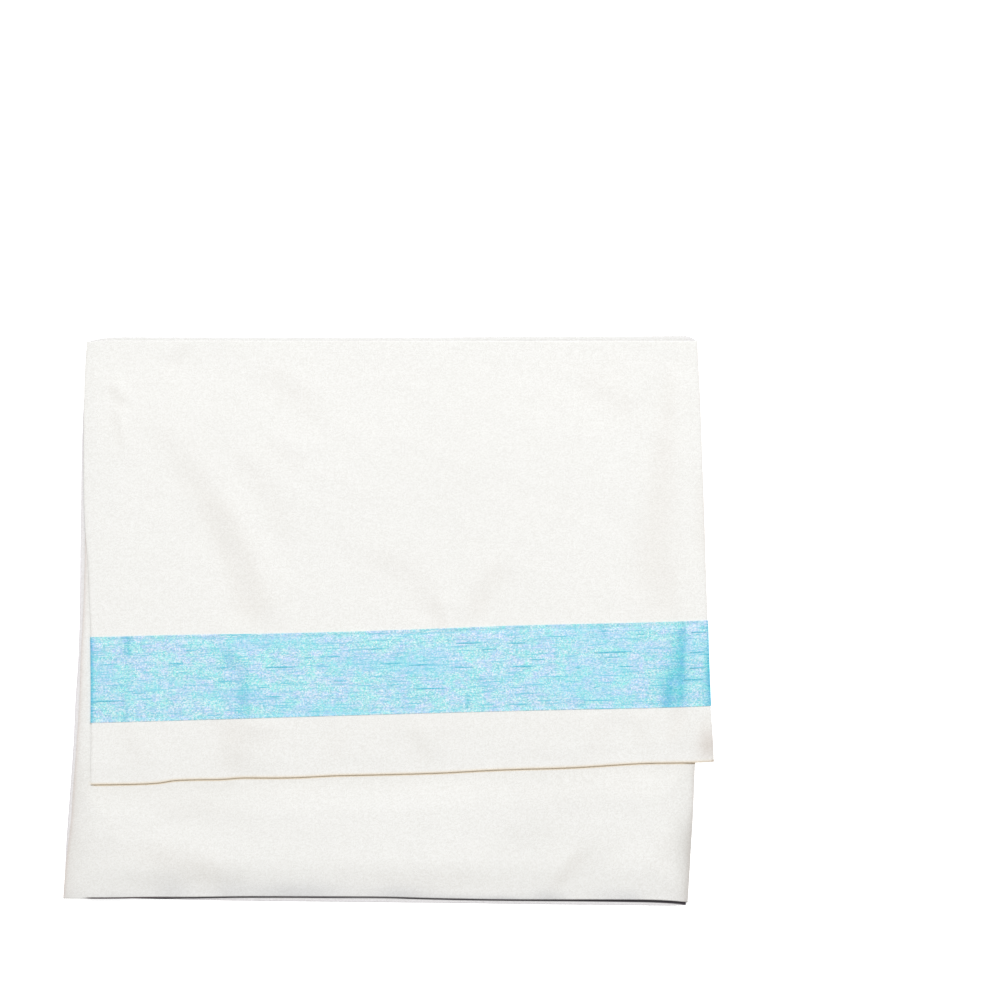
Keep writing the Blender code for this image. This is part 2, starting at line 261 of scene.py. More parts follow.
def crease_field(x, y, creases):
    """The height that the creases add at each place, and how strongly they shade it, from 0 to 1."""
    height, shade = np.zeros_like(x), np.zeros_like(x)
    for crease in creases:
        points = rounded_path(crease.path)
        nearest = np.full_like(x, 1e9)
        side, width = np.zeros_like(x), np.ones_like(x)
        beyond, along = np.zeros_like(x), np.zeros_like(x)
        steps = len(points) - 1
        for k in range(steps):
            way = points[k + 1] - points[k]
            length = math.hypot(*way)
            px, py = x - points[k][0], y - points[k][1]
            free = (px * way[0] + py * way[1]) / length**2
            held = np.clip(free, 0.0, 1.0)
            off = (way[0] * py - way[1] * px) / length
            away = np.hypot(off, (free - held) * length)
            closer = away < nearest
            past = (k == 0) & (free < 0) | (k == steps - 1) & (free > 1)
            signed = np.where(past, off, np.sign(off) * away)
            side = np.where(closer, signed, side)
            beyond = np.where(closer, np.where(past, np.abs(free - held) * length, 0.0), beyond)
            along = np.where(closer, (k + held) / steps, along)
            width = np.where(closer, (crease.start + along * (crease.end - crease.start)) * MM, width)
            nearest = np.minimum(nearest, away)
        ends = smooth(along / FADE_IN) * smooth((1 - along) / FADE_OUT)
        fade = near(beyond, width) * near(side, CREASE_REACH * width)
        fade = fade * (FADE_LEAST + (1 - FADE_LEAST) * ends)
        height += CREASE_HEIGHT * crease.depth * crease_step(side / width) * fade
        # Painted shade along the crease, which the tone lays on the cloth.
        shade += crease.depth * near(side, width) * fade
    return height, np.clip(shade, 0.0, 1.0)


def slow_waves(x, y, waves):
    """A gentle unevenness, the sum of a few long waves in different directions."""
    pick = np.random.default_rng(waves.seed)
    total = np.zeros_like(x)
    count = 6
    for _ in range(count):
        turn, shift = pick.uniform(0, math.pi), pick.uniform(0, 2 * math.pi)
        wave = waves.length * MM * pick.uniform(0.7, 1.5)
        total += np.sin(2 * math.pi * (x * math.cos(turn) + y * math.sin(turn)) / wave + shift)
    return waves.height * MM * total / count


print("Creases on the fall and the run:", len(FALL_CREASES), len(RUN_CREASES))

# %% [markdown]
# ## Laying a sheet
#
# Every stretch of cloth starts as a plain grid. Its rows run across the cloth and its
# columns along it. A table of places, worked out below for each piece, then says where each
# crossing of the weave lies, and a Solidify modifier gives the sheet its thickness.
# The UV map is the flat cloth in metres, so that weave and slubs keep their true size, and a tone
# that each material is multiplied by carries the soft shadows.

# %% Sheet helpers
CLOTH_THICKNESS = 0.5 * MM
CLOTH_WIDTH = 0.457
SMOOTH_ANGLE = math.radians(50)
EDGE_STEPS = np.array([0.0, 0.4, 0.9, 1.6, 2.6, 4.0]) * MM


def deselect_all():
    for other in bpy.context.view_layer.objects:
        other.select_set(False)


def lengths_along(points):
    return np.concatenate([[0.0], np.cumsum(np.linalg.norm(np.diff(points, axis=0), axis=1))])


def lay_sheet(name, places, thickness, tone):
    """A grid of cloth whose row r and column c lie at places[r, c], thickened to both sides.

    tone[r, c] is a colour that the material is multiplied by there.
    """
    rows, cols = places.shape[0] - 1, places.shape[1] - 1
    deselect_all()
    bpy.ops.mesh.primitive_grid_add(x_subdivisions=cols, y_subdivisions=rows, size=1.0)
    sheet = bpy.context.object
    sheet.name = sheet.data.name = name
    flat = np.empty(len(sheet.data.vertices) * 3)
    sheet.data.vertices.foreach_get("co", flat)
    flat = flat.reshape(-1, 3)
    column = np.rint((flat[:, 0] + 0.5) * cols).astype(int)
    row = np.rint((flat[:, 1] + 0.5) * rows).astype(int)
    sheet.data.vertices.foreach_set("co", places[row, column].ravel())
    reach, run = lengths_along(places[rows // 2]), lengths_along(places[:, cols // 2])
    corners = np.empty(len(sheet.data.loops), dtype=np.int32)
    sheet.data.loops.foreach_get("vertex_index", corners)
    uv = np.stack([reach[column[corners]], run[row[corners]]], axis=1)
    sheet.data.uv_layers.active.data.foreach_set("uv", uv.ravel())
    colours = np.concatenate([tone[row, column], np.ones((len(row), 1))], axis=1)
    sheet.data.attributes.new("tone", "FLOAT_COLOR", "POINT").data.foreach_set("color", colours.ravel())
    sheet.data.update()
    wall = sheet.modifiers.new("thickness", "SOLIDIFY")
    wall.thickness = thickness
    wall.offset = 0.0
    bpy.ops.object.modifier_apply(modifier=wall.name)
    bpy.ops.object.shade_smooth_by_angle(angle=SMOOTH_ANGLE)
    return sheet


def edged_steps(count, whole, edge):
    """Places from 0 to 1 across a whole: fine ones at both edges and even steps between them."""
    fine = np.array(edge) / whole
    middle = np.linspace(fine[-1], 1 - fine[-1], count + 1)[1:-1]
    return np.concatenate([fine, middle, 1 - fine[::-1]])


def shares(count):
    """The shares from 0 to 1 that part a whole in count equal steps."""
    return np.linspace(0.0, 1.0, count + 1)


def row_of(x, y, z):
    """A row of places across the cloth: y and z may be one number for all of them."""
    return np.stack([x, y + 0 * x, z + 0 * x], axis=1)


def rows_at(sides, u, ups, height):
    """A row across a layer for each place up the shawl, at the height that a function gives."""
    rows = []
    for y in ups:
        x = across(sides, u, y)
        rows.append(row_of(x, y, height(x, y)))
    return rows


def fold_arc(y, z, drop, way, steps=8):
    """Places up and heights of a fold that turns down by drop; way is 1 towards +Y and -1 back."""
    angles = np.linspace(math.pi / 2, -math.pi / 2, steps + 1)[1:]
    return [(y + way * drop / 2 * math.cos(a), z - drop / 2 + drop / 2 * math.sin(a)) for a in angles]


def tinted(tone, share, colour):
    """The tone, taken towards a colour by a share. A share over 1, up to 2, goes past the colour."""
    share = np.clip(share, 0.0, 2.0)[..., None]
    return tone * (1 - share * (1 - np.array(colour)))


def upright(places):
    """How far the cloth has turned from level, 0, to upright, 1, at each place of a grid."""
    steps = np.gradient(places, axis=0)
    return np.abs(steps[..., 2]) / np.linalg.norm(steps, axis=2)


print("Cloth thickness in mm:", CLOTH_THICKNESS / MM)

# %% [markdown]
# ## How the stack is pressed
#
# Five layers of thin cloth lie on each other with air between them. Towards the sides and the
# lower fold the stack is pressed flatter, so its edges slope down. One function gives the height
# of every layer, so neighbours can't cut through each other.

# %% Stack
PITCH, SIDE_PITCH = mm(1.3625, 0.65)
FLOOR_Z = CLOTH_THICKNESS / 2
CORNER_START, CORNER_REACH = mm(-85, 90)
LEFT_REACH, LEFT_REACH_MORE = mm(6, 14)
RIGHT_REACH, LOW_REACH = mm(10, 24)
LEFT_PRESS, LEFT_PRESS_MORE, RIGHT_PRESS, LOW_PRESS = 0.15, 0.35, 0.5, 0.3
FALL_LAYER, RUN_LAYER, THIRD_LAYER, FOURTH_LAYER = 4, 3, 2, 1


def lower_left(y):
    """0 up the shawl and 1 at its foot, where the left edge runs out to the corner."""
    return smooth((CORNER_START - y) / CORNER_REACH)


def layer_z(layer, x, y):
    """Middle height of a layer's cloth, counted from 0 for the lowest."""
    corner = lower_left(y)
    left_reach = LEFT_REACH + LEFT_REACH_MORE * corner
    left = 1 - smooth((x - left_of(RUN_SIDES, y)) / left_reach)
    left = (LEFT_PRESS + LEFT_PRESS_MORE * corner) * left
    right = RIGHT_PRESS * (1 - smooth((right_of(RUN_SIDES, y) - x) / RIGHT_REACH))
    low = LOW_PRESS * (1 - smooth((y - end_at(RUN_FOLD, x)) / LOW_REACH))
    if layer == FALL_LAYER:
        right = 0.0
    press = 1 - (1 - left) * (1 - right) * (1 - low)
    return FLOOR_Z + layer * (PITCH + press * (SIDE_PITCH - PITCH))


middle = np.array([0.0])
print("Stack height in mm:", round(float(layer_z(FALL_LAYER, middle, middle)[0]) / MM, 2))

# %% [markdown]
# ## The front fall
#
# The top layer runs from the hem, turned under in a narrow tuck, up to the top fold and a little way
# back beneath it. Its surface swells gently between the creases, dips to a soft rounded nose
# at the hem, and sags a little at the right, where it hangs over the layers below.

# %% Front fall
SWELL, SWELL_FADE = mm(0.75, 26)
HEM_DROP, HEM_LIFT, HEM_NOSE, HEM_TUCK, HEM_FADE = mm(0.8, 0.55, 0.9, 6, 16)
SAG, SAG_START, SAG_REACH = mm(2.0, 223, 12)
TUCK_ROWS = np.array([1.0, 0.5, 0.15]) * HEM_TUCK
NOSE_ROWS = np.array([0.0, 0.03, 0.09, 0.2, 0.35, 0.55, 0.8, 1.0, 1.5, 2.2, 3.2]) * HEM_NOSE
BODY_EDGE, BODY_LENGTH = np.array([0.0, 0.3, 0.8, 1.6]) * MM, 310 * MM
RETURN_LENGTH, LAYER_GAP = mm(10, 0.3)
LEAST_RELIEF, RELIEF_EASE, EDGE_CALM, TOP_CALM = mm(0.2, 0.12, 12, 100)
FALL_WAVES = (Waves(0.25, 90, 3), Waves(0.10, 28, 5))
HEM_UP, TOP_UP, BOTTOM_UP = mm(-112, 206, -205)
# Painted shade on the fall: an ochre shadow line under the hem, greyer creases, side edges and top fold
# noses.
HEM_LINE_SHADOW, CREASE_SHADE = (0.95, 0.83, 0.67), (0.975, 0.965, 0.957)
FALL_EDGE_SHADE, CORNER_TONE = (0.925, 0.92, 0.915), (0.45, 0.36, 0.30)
TOP_NOSE_SHADE, TOP_ZONE = (0.70, 0.70, 0.71), 190 * MM
EDGE_TONE_REACH, CORNER_TONE_REACH = mm(1.2, 1.4)
Shade = namedtuple("Shade", "across up reach rise depth")
SHADE_TONE = (0.957, 0.955, 0.952)
FALL_SHADES = table(
    Shade,
    (-114, -102, 11, 8, 0.7), (-93, -83, 13, 6, 0.5), (-128, 132, 13, 12, 0.3),
    (190, 172, 14, 14, 0.3), (33, -88, 9, 8, 0.3),
)
CORNER_SHADES, CORNER_SHADE_TONE = (Shade(236, -91, 9, 11, 1.0),), (0.84, 0.80, 0.78)


def soft_floor(height):
    """The height, eased so that it never goes below zero and has no sharp bend there."""
    return (height + np.sqrt(height**2 + RELIEF_EASE**2)) / 2


def sag_at(x):
    return SAG * (np.maximum(x - SAG_START, 0.0) / SAG_REACH) ** 2


def tuck_height(x, y):
    """Middle height of the hem's cloth where it is turned under."""
    return layer_z(FALL_LAYER, x, y) - HEM_DROP - sag_at(x)


def fall_height(x, y):
    """Middle height of the fall's cloth above a place."""
    low, high = end_at(FRONT_HEM, x), end_at(FRONT_FOLD, x)
    beside = np.minimum(*from_sides(FALL_SIDES, x, y))
    inward = np.minimum(beside, np.minimum(high - y, y - low))
    swell = SWELL * smooth(np.minimum(beside, (y - low) / 2) / SWELL_FADE)
    swell = swell * smooth((high - y) / TOP_CALM)
    uneven = sum(slow_waves(x, y, row) for row in FALL_WAVES)
    height, _ = crease_field(x, y, FALL_CREASES)
    relief = soft_floor(LEAST_RELIEF + swell + height + uneven * smooth(inward / EDGE_CALM))
    nose = np.clip(1.0 - (y - low) / HEM_NOSE, 0.0, 1.0)
    fade = smooth(1.0 - (y - low - HEM_NOSE) / HEM_FADE)
    hem = (HEM_LIFT * np.sqrt(np.clip(1.0 - nose**2, 0.0, 1.0)) - HEM_DROP) * fade
    return layer_z(FALL_LAYER, x, y) + relief + hem - sag_at(x)


def soft_spot(row, x, y):
    """How deep a row's soft spot is at a place."""
    beside, above = (x / MM - row.across) / row.reach, (y / MM - row.up) / row.rise
    return row.depth * np.exp(-(beside**2) - above**2)


def shaded(tone, x, y, shades, colour=SHADE_TONE):
    """The tone with soft shadows laid on it, each with its own place, size and depth."""
    for row in shades:
        tone = tinted(tone, soft_spot(row, x, y), colour)
    return tone


def creased_tone(x, y, creases, colour=CREASE_SHADE):
    """White, taken towards a colour of painted shade in the creases."""
    _, shade = crease_field(x, y, creases)
    return tinted(np.ones(x.shape + (3,)), shade, colour)


def fall_tone(x, y):
    """Painted shade in creases, patches and side edges, an ochre hem shadow and a dark corner dot."""
    tone = shaded(creased_tone(x, y, FALL_CREASES), x, y, FALL_SHADES)
    left, right = from_sides(FALL_SIDES, x, y)
    tone = tinted(tone, near(np.minimum(left, right), EDGE_TONE_REACH), FALL_EDGE_SHADE)
    above_hem = y - end_at(FRONT_HEM, x)
    tone = tinted(tone, near(above_hem, EDGE_TONE_REACH), HEM_LINE_SHADOW)
    tone = shaded(tone, x, y, CORNER_SHADES, CORNER_SHADE_TONE)
    corner = np.hypot(np.maximum(right, 0.0), above_hem)
    return tinted(tone, near(corner, CORNER_TONE_REACH), CORNER_TONE)


def top_turn(u):
    """Where the fall's cloth starts to turn down at the top fold."""
    return end_at(FRONT_FOLD, across(FALL_SIDES, u, TOP_UP)) - (CLOTH_THICKNESS + PITCH) / 2


def fall_places(columns, body_rows):
    """The path of the front fall: hem tuck, hem nose, body, top fold and return."""
    u = edged_steps(columns, CLOTH_WIDTH, EDGE_STEPS)
    start = end_at(FRONT_HEM, across(FALL_SIDES, u, HEM_UP)) + CLOTH_THICKNESS / 2
    stop = top_turn(u)
    first = start + NOSE_ROWS[-1]
    body = edged_steps(body_rows, BODY_LENGTH, BODY_EDGE)[1:]
    rows = rows_at(FALL_SIDES, u, [start + step for step in TUCK_ROWS], tuck_height)
    rows += rows_at(FALL_SIDES, u, [start + step for step in NOSE_ROWS], fall_height)
    rows += rows_at(FALL_SIDES, u, [first + share * (stop - first) for share in body], fall_height)
    x, y, z = rows[-1].T
    rows += [row_of(x, fold_y, fold_z) for fold_y, fold_z in fold_arc(y, z, PITCH, 1)]
    rows.append(row_of(x, y - RETURN_LENGTH, z - PITCH))
    return np.array(rows)


def dress_places(places, tone_of):
    return tone_of(places[..., 0], places[..., 1])


def top_noses(places, tone):
    """The tone, with painted grey shade where the top folds turn down."""
    return tinted(tone, upright(places) * (places[..., 1] > TOP_ZONE), TOP_NOSE_SHADE)


fall_grid = fall_places(184, 126)
fall_colours = top_noses(fall_grid, dress_places(fall_grid, fall_tone))
shawl_fall = lay_sheet("shawl_fall", fall_grid, CLOTH_THICKNESS, fall_colours)
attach(shawl_fall, "root")
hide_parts("front_fall")
print("Fall faces:", len(shawl_fall.data.polygons))

# %% [markdown]
# ## The second run
#
# Below the fall the cloth comes back down and shows past the hem. It rounds off at its left, right
# and lower edges, where the stack is pressed, and the tone paints shade along them. The light comes
# from the far side, so a narrow line along the hem and the gap under the lower fold lie in shadow.
# Light that gets in there has bounced between warm white layers. These shadows come partly from the
# lamp and are partly painted in the tone, the one at the hem warm ochre.

# %% Second run sizes
RUN_SWELL, RUN_FADE = mm(1.2, 30)
RUN_HEM_ROWS = np.array([6.0, 3.0, 1.6, 0.8, 0.2, -0.2, -0.6, -1.0, -1.4, -1.8, -2.4, -3.4]) * MM
RUN_FOLD_ROWS = np.array([5.0, 3.4, 2.2, 1.3, 0.7, 0.3, 0.0]) * MM
SIDE_SHADE, LOW_SHADE = (0.84, 0.82, 0.81), (0.97, 0.968, 0.972)
WARM_SIDE_SHADE, HOLLOW_SHADE = (0.94, 0.89, 0.88), (0.79, 0.795, 0.815)
GAP_SHADOW, FOLD_SHADOW = (0.07, 0.06, 0.07), (0.24, 0.215, 0.225)
RIGHT_SHADE, WARM_RIGHT_SHADE = (0.80, 0.79, 0.78), (0.87, 0.85, 0.84)
RIGHT_START, SIDE_WIDER = mm(-128, -10)
RUN_SHADES = table(
    Shade,
    (-142, -134, 55, 12, 1.0), (-215, -168, 20, 16, 1.0), (-170, -191, 32, 9, 1.3),
    (-120, -189, 20, 7, 1.5), (135, -130, 50, 14, 1.0), (148, -170, 18, 12, 0.9),
    (100, -157, 26, 13, 0.9), (217, -167, 7, 18, 1.8),
)
FOLD_HOLLOW_SHADES = table(
    Shade,
    (-200, 0, 26, 4, 0.5), (-158, 0, 16, 14, 0.55), (-118, 0, 14, 11, 0.45), (-70, 0, 40, 10, 0.9),
    (8, 0, 22, 8, 0.85), (52, 0, 28, 3, 0.85), (86, 0, 16, 3, 0.8), (118, 0, 14, 6, 0.9),
    (160, 0, 12, 7, 0.35), (177, 0, 11, 6, 0.65),
)
RUN_WIDTH, RUN_CALM, RETURN_INSET = 455 * MM, 14 * MM, 0.998
RUN_WAVES = (Waves(0.25, 80, 11), Waves(0.10, 26, 12))
# Reaches of the tones inwards from the left edge, from the right edge, and up from the fold.
SIDE_DEPTH, SIDE_REACH, SIDE_REACH_MORE, SIDE_REACH_CORNER = 0.7, 1.8 * MM, 2.0 * MM, 3.0 * MM
SIDE_WIDER_REACH, SIDE_WARM_REACH = mm(70, 1.6)
RIGHT_DEPTH, RIGHT_FADE, RIGHT_TONE_REACH = 0.35, 30 * MM, 8 * MM
RIGHT_WARM_REACH, RIGHT_WARM_MORE, LOW_TONE_REACH = mm(1.5, 2.0, 8)
# The painted shadow line along the fold, which is wider and deeper at the lower left.
FOLD_LINE, FOLD_LINE_MORE, FOLD_LINE_EDGE, FOLD_LINE_DEEPER = 0.75 * MM, 0.65 * MM, 0.4 * MM, 0.22
FOLD_LINE_WIDE, FOLD_WIDE_REACH = mm(-140, 50)
FOLD_TONE_START, FOLD_START_REACH = mm(-226, 8)
GAP_START, GAP_START_REACH, GAP_ROWS = -212 * MM, 14 * MM, 6
# Painted shade below the hem, and the painted ochre shadow line from just under the hem to just below
# it.
HEM_SHADE, HEM_SHADE_REACH = (0.968, 0.965, 0.960), 15 * MM
LINE_UNDER, LINE_UNDER_FADE, LINE_BELOW, LINE_BELOW_FADE = mm(3, 2, 1.6, 0.7)
LINE_SIDE_FADE = 0.8 * MM


# %% Second run
def run_height(x, y):
    """Middle height of the run's cloth above a place."""
    low, hem = end_at(RUN_FOLD, x), end_at(FRONT_HEM, x)
    beside = np.minimum(*from_sides(RUN_SIDES, x, y))
    inward = np.minimum(beside, np.minimum(y - low, hem - y))
    swell = RUN_SWELL * smooth(inward / RUN_FADE)
    uneven = sum(slow_waves(x, y, row) for row in RUN_WAVES)
    height, _ = crease_field(x, y, RUN_CREASES)
    return layer_z(RUN_LAYER, x, y) + swell + (height + uneven) * smooth(inward / RUN_CALM)


def from_fold_start(x):
    """0 at the lower left corner's tip and 1 from a little to its right on."""
    return smooth((x - FOLD_TONE_START) / FOLD_START_REACH)


def run_side_tone(tone, x, y):
    """Painted warm grey shade at the side edges, wider to the lower left and deeper to the lower right.
    """
    corner = lower_left(y)
    left, right = from_sides(RUN_SIDES, x, y)
    reach = SIDE_REACH + SIDE_REACH_MORE * smooth((SIDE_WIDER - y) / SIDE_WIDER_REACH)
    reach = reach + SIDE_REACH_CORNER * corner
    tone = tinted(tone, (SIDE_DEPTH + (1 - SIDE_DEPTH) * corner) * np.exp(-left / reach), SIDE_SHADE)
    tone = tinted(tone, near(left, SIDE_WARM_REACH), WARM_SIDE_SHADE)
    lower = RIGHT_DEPTH + (1 - RIGHT_DEPTH) * smooth((RIGHT_START - y) / RIGHT_FADE)
    tone = tinted(tone, lower * np.exp(-right / RIGHT_TONE_REACH), RIGHT_SHADE)
    return tinted(tone, near(right, RIGHT_WARM_REACH + RIGHT_WARM_MORE * lower), WARM_RIGHT_SHADE)


def run_fold_tone(tone, x, above_fold):
    """Painted cool shade above the lower fold and in soft hollows, and a shadow line along the fold."""
    tone = tinted(tone, near(above_fold, LOW_TONE_REACH), LOW_SHADE)
    tone = tinted(tone, sum(soft_spot(row, x, above_fold) for row in FOLD_HOLLOW_SHADES), HOLLOW_SHADE)
    wider = smooth((FOLD_LINE_WIDE - x) / FOLD_WIDE_REACH)
    fold = smooth((FOLD_LINE + FOLD_LINE_MORE * wider - above_fold) / FOLD_LINE_EDGE)
    return tinted(tone, fold * from_fold_start(x) * (1 + FOLD_LINE_DEEPER * wider), FOLD_SHADOW)


def run_tone(x, y):
    """Painted shade at the side edges and the fold, soft shadows, and shade and an ochre shadow at the
    hem.
    """
    tone = run_side_tone(creased_tone(x, y, RUN_CREASES), x, y)
    tone = shaded(tone, x, y, RUN_SHADES)
    tone = run_fold_tone(tone, x, y - end_at(RUN_FOLD, x))
    below_hem = end_at(FRONT_HEM, x) - y
    tone = tinted(tone, near(below_hem, HEM_SHADE_REACH), HEM_SHADE)
    under = smooth((below_hem + LINE_UNDER) / LINE_UNDER_FADE)
    line = under * smooth((LINE_BELOW - below_hem) / LINE_BELOW_FADE)
    # Painted ochre shadow line on the run, where the fall's hem shades it.
    return tinted(tone, line * smooth((x - left_of(FALL_SIDES, y)) / LINE_SIDE_FADE), HEM_LINE_SHADOW)


def run_places(columns, hidden_rows, shown_rows):
    """The path of the second run: down under the fall, past its hem, round the lower fold and back."""
    u = edged_steps(columns, RUN_WIDTH, EDGE_STEPS)
    top = top_turn(u) - RETURN_LENGTH - LAYER_GAP
    edge_x = across(RUN_SIDES, u, BOTTOM_UP)
    pitch = layer_z(RUN_LAYER, edge_x, end_at(RUN_FOLD, edge_x)) / RUN_LAYER
    low = end_at(RUN_FOLD, edge_x) + (CLOTH_THICKNESS + pitch) / 2
    hem = end_at(FRONT_HEM, across(RUN_SIDES, u, HEM_UP))
    ups = [top + share * (hem + RUN_HEM_ROWS[0] - top) for share in shares(hidden_rows)[:-1]]
    ups += [hem + step for step in RUN_HEM_ROWS[:-1]]
    first, last = hem + RUN_HEM_ROWS[-1], low + RUN_FOLD_ROWS[0]
    ups += [first + share * (last - first) for share in shares(shown_rows)[:-1]]
    ups += [low + step for step in RUN_FOLD_ROWS]
    rows = rows_at(RUN_SIDES, u, ups, run_height)
    x, y, z = rows[-1].T
    rows += [row_of(x, fold_y, fold_z) for fold_y, fold_z in fold_arc(y, z, pitch, -1)]
    x = RETURN_INSET * across(RUN_SIDES, u, y + RETURN_LENGTH)
    rows.append(row_of(x, y + RETURN_LENGTH, z - pitch))
    return np.array(rows)


run_grid = run_places(150, 24, 48)
run_colours = dress_places(run_grid, run_tone)
# Painted shadow in the gap under the lower fold, on the run's own return.
gap_shadow_share = smooth((run_grid[-GAP_ROWS:, :, 0] - GAP_START) / GAP_START_REACH)
run_colours[-GAP_ROWS:] = tinted(run_colours[-GAP_ROWS:], gap_shadow_share, GAP_SHADOW)
shawl_run = lay_sheet("shawl_run", run_grid, CLOTH_THICKNESS, run_colours)
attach(shawl_run, "root")
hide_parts("second_run")
print("Run faces:", len(shawl_run.data.polygons))

# %% [markdown]
# ## The hidden layers
#
# The rest of the cloth folds twice more below. Only its edges show: the back fold past the top,
# the lowest fold past the bottom, and a sliver along the left. It is still one true sheet here, so
# the edges read as layers from every side, and the underside has the cloth's free end.

# %% Hidden layers
FREE_END_UP = 68 * MM
THIRD_INSET, FIFTH_INSET = mm(1.1, 2.2)
COOL_EDGE_SHADE, PEEK_SHADE = (0.90, 0.88, 0.93), (0.905, 0.905, 0.915)
LAYER_ENDS = np.array([0.0, 1.5, 4.0]) * MM
FOLD_ROWS = np.array([0.0, 0.5, 0.9, 1.3, 1.7, 2.2, 3.0, 4.5, 7.0, 10.0]) * MM
HIDDEN_WIDTH, HIDDEN_LENGTH = mm(450, 400)
HIDDEN_LEAST, HIDDEN_FADE = mm(0.26, 22)
FOURTH_WAVES, FIFTH_WAVES = Waves(0.25, 70, 21), Waves(0.25, 70, 22)
DROP_START, DROP_REACH, DROP_TOP, END_REACH = mm(3, 18, 26, 20)
COOL_REACH, PEEK_DEPTH, PEEK_FADE = mm(5, 8.4, 6)
# The gap's shadow reaches below the run's fold, more to the right, and in under it.
GAP_WIDTH, GAP_WIDTH_MORE, GAP_WIDER, GAP_WIDER_REACH = mm(1.25, 1.1, 80, 140)
GAP_EDGE, GAP_DEPTH, GAP_FADE, GAP_FLOOR = mm(0.5, 9, 3, 0.7)


def hidden_relief(x, y, waves):
    """Low waves of the hidden cloth, never below where it rests."""
    beside = np.minimum(*from_sides(HIDDEN_SIDES, x, y))
    inward = np.minimum(beside, HIDDEN_LENGTH / 2 - np.abs(y))
    return (HIDDEN_LEAST + slow_waves(x, y, waves)) * smooth(inward / HIDDEN_FADE)


def hidden_row(u, y, z, inset):
    """One row of a hidden layer, with its side edges drawn in by inset."""
    left, right = left_of(HIDDEN_SIDES, y) + inset, right_of(HIDDEN_SIDES, y) - inset
    return row_of(left + u * (right - left), y, z)


def hidden_places(columns, rows_each):
    """The path of layers three, four and five: up, over the back fold, down, round and up again."""
    u = edged_steps(columns, HIDDEN_WIDTH, EDGE_STEPS)
    seam = end_at(RUN_FOLD, across(RUN_SIDES, u, BOTTOM_UP)) + CLOTH_THICKNESS / 2 + PITCH / 2
    seam = seam + RETURN_LENGTH + LAYER_GAP
    top_x, low_x = across(HIDDEN_SIDES, u, TOP_UP), across(HIDDEN_SIDES, u, BOTTOM_UP)
    top_pitch = layer_z(FOURTH_LAYER, top_x, TOP_UP) - FLOOR_Z
    top = end_at(BACK_TOP_FOLD, top_x) - (CLOTH_THICKNESS + top_pitch) / 2
    low_edge = end_at(BACK_BOTTOM_FOLD, low_x)
    low_pitch = layer_z(FOURTH_LAYER, low_x, low_edge) - FLOOR_Z
    low = low_edge + (CLOTH_THICKNESS + low_pitch) / 2
    rows = []
    for share in edged_steps(rows_each, HIDDEN_LENGTH, LAYER_ENDS):
        y = seam + share * (top - seam)
        row = hidden_row(u, y, 0.0, THIRD_INSET * (1 - share))
        row[:, 2] = layer_z(THIRD_LAYER, row[:, 0], y)
        rows.append(row)
    for fold_y, fold_z in fold_arc(top, rows[-1][:, 2], top_pitch, 1):
        rows.append(hidden_row(u, top, fold_z, 0.0))
        rows[-1][:, 1] = fold_y
    body = [top + share * (low + FOLD_ROWS[-1] - top) for share in shares(rows_each - 1)[1:-1]]
    for y in body + [low + step for step in FOLD_ROWS[::-1]]:
        row = hidden_row(u, y, 0.0, 0.0)
        x = row[:, 0]
        drop = smooth((y - FREE_END_UP - DROP_START) / DROP_REACH) * smooth((top - y) / DROP_TOP)
        high = layer_z(FOURTH_LAYER, x, y) - FLOOR_Z
        row[:, 2] = FLOOR_Z + high * (1 - drop) + drop * hidden_relief(x, y, FOURTH_WAVES)
        rows.append(row)
    for fold_y, fold_z in fold_arc(low, rows[-1][:, 2], low_pitch, -1):
        share = (rows[-1][:, 2] - fold_z) / low_pitch
        rows.append(hidden_row(u, low, fold_z, np.clip(share, 0.0, 1.0) * FIFTH_INSET))
        rows[-1][:, 1] = fold_y
    for share in shares(rows_each * 2 // 3)[1:]:
        y = low + share * (FREE_END_UP - low)
        row = hidden_row(u, y, 0.0, FIFTH_INSET)
        end = smooth((FREE_END_UP - y) / END_REACH) * smooth((y - low) / END_REACH)
        row[:, 2] = FLOOR_Z + end * hidden_relief(row[:, 0], y, FIFTH_WAVES)
        rows.append(row)
    return np.array(rows)


def hidden_tone(places):
    """Painted shade: cool at peeking edges, grey below the top fold, dark in the gap under the run's
    fold.
    """
    x, y, z = np.moveaxis(places, 2, 0)
    beside = np.minimum(*from_sides(HIDDEN_SIDES, x, y))
    inward = np.minimum(beside, y - end_at(BACK_BOTTOM_FOLD, x))
    tone = tinted(np.ones(x.shape + (3,)), np.exp(-inward / COOL_REACH), COOL_EDGE_SHADE)
    below_top = end_at(BACK_TOP_FOLD, x) - y
    tone = tinted(tone, smooth((PEEK_DEPTH - below_top) / PEEK_FADE), PEEK_SHADE)
    gap = y - end_at(RUN_FOLD, x)
    width = GAP_WIDTH + GAP_WIDTH_MORE * smooth((x - GAP_WIDER) / GAP_WIDER_REACH)
    dark = smooth((gap + width) / GAP_EDGE) * smooth((GAP_DEPTH - gap) / GAP_FADE)
    dark = dark * smooth((z - FLOOR_Z) / GAP_FLOOR)
    return tinted(tone, dark * from_fold_start(x), GAP_SHADOW)


hidden_grid = hidden_places(90, 62)
layer_colours = top_noses(hidden_grid, hidden_tone(hidden_grid))
shawl_layers = lay_sheet("shawl_layers", hidden_grid, CLOTH_THICKNESS, layer_colours)
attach(shawl_layers, "root")
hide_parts("hidden_layers")
print("Hidden layers' faces:", len(shawl_layers.data.polygons))

# %% [markdown]
# ## The blue band
#
# The band is a strip of raw silk, laid over the fall and sewn down along both long edges. Its ends
# turn round the side edges. It could be painted on, but the real strip has an edge that catches
# the light, so it is its own sheet, made from the fall's own surface and moved up by its thickness.

